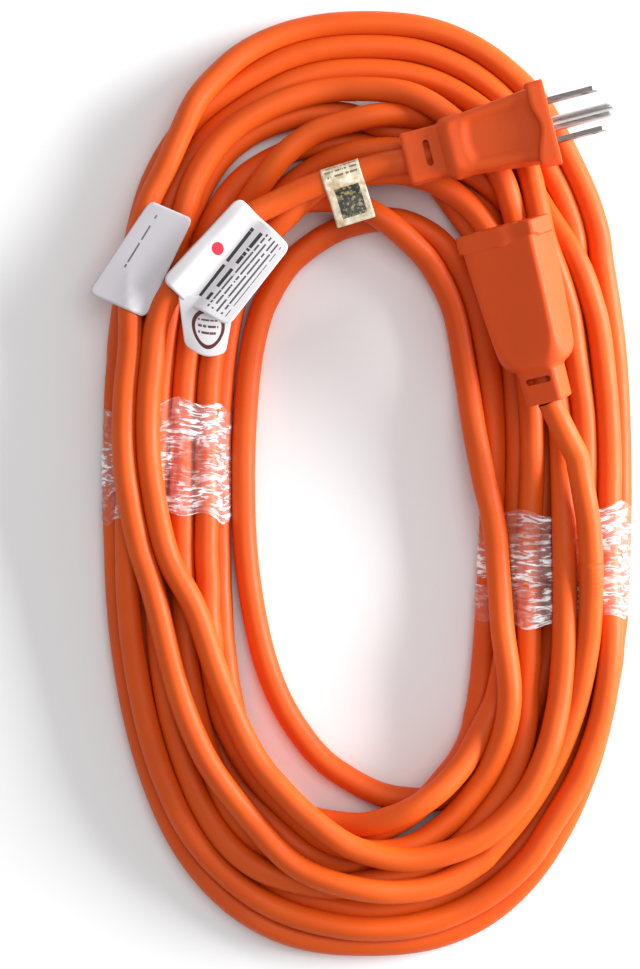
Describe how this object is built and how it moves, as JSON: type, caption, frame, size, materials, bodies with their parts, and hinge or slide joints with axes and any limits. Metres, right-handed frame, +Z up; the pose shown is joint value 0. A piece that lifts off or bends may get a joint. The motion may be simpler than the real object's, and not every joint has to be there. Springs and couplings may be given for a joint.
{
  "type": "extension cord",
  "caption": "Outdoor three-wire extension cord wound into a long oval hank, with a moulded plug and connector resting on top.",
  "frame": {"origin": "bottom centre of the whole hank's bounding box, on the surface it lies on", "axes": "+X to the right across the hank, +Y along its long side towards the plug's end, +Z up"},
  "size_m": [0.174, 0.304, 0.0474],
  "materials": {
    "cord_jacket": "satin orange vinyl jacket",
    "moulded_vinyl": "satin orange moulded vinyl",
    "stretch_film": "clear crinkled stretch film",
    "label_paper": null,
    "approval_foil": "gold and dark foil label",
    "nylon": "natural nylon",
    "blade_metal": "bright nickel plate",
    "contact_brass": "plain brass strip",
    "wire_black": "black insulation",
    "wire_white": "white insulation",
    "wire_green": "green insulation"
  },
  "bodies": {
    "root": {"coil_bundle": "cord_jacket", "coil_top_turns": "cord_jacket", "inner_loop": "cord_jacket", "plug_lead": "cord_jacket", "plug_tail": "cord_jacket", "connector_tail": "cord_jacket", "film_wrap_left": "stretch_film", "film_wrap_right": "stretch_film", "flag_label": "label_paper", "tag_label": "label_paper", "approval_label": "approval_foil"},
    "plug": {"plug_overmould": "moulded_vinyl", "blade_carrier": "nylon", "line_blade": "blade_metal", "neutral_blade": "blade_metal", "ground_pin": "blade_metal", "plug_crimps": "contact_brass", "plug_jacket_end": "cord_jacket", "plug_black_wire": "wire_black", "plug_white_wire": "wire_white", "plug_green_wire": "wire_green"},
    "connector": {"connector_overmould": "moulded_vinyl", "contact_carrier": "nylon", "line_contact": "contact_brass", "neutral_contact": "contact_brass", "ground_contact": "contact_brass", "connector_crimps": "contact_brass", "connector_jacket_end": "cord_jacket", "connector_black_wire": "wire_black", "connector_white_wire": "wire_white", "connector_green_wire": "wire_green"}
  },
  "joints": [
    {"name": "plug_lift", "type": "hinge", "parent": "root", "child": "plug", "pos_m": [-0.0105, 0.0953, 0.0214], "axis": [0.2419, -0.9703, 0], "range_deg": [0, 35], "deforming": ["plug_tail", "approval_label"]},
    {"name": "connector_lift", "type": "hinge", "parent": "root", "child": "connector", "pos_m": [0.0705, 0.001, 0.0218], "axis": [0.9659, 0.2588, 0], "range_deg": [0, 35], "deforming": ["connector_tail"]}
  ]
}
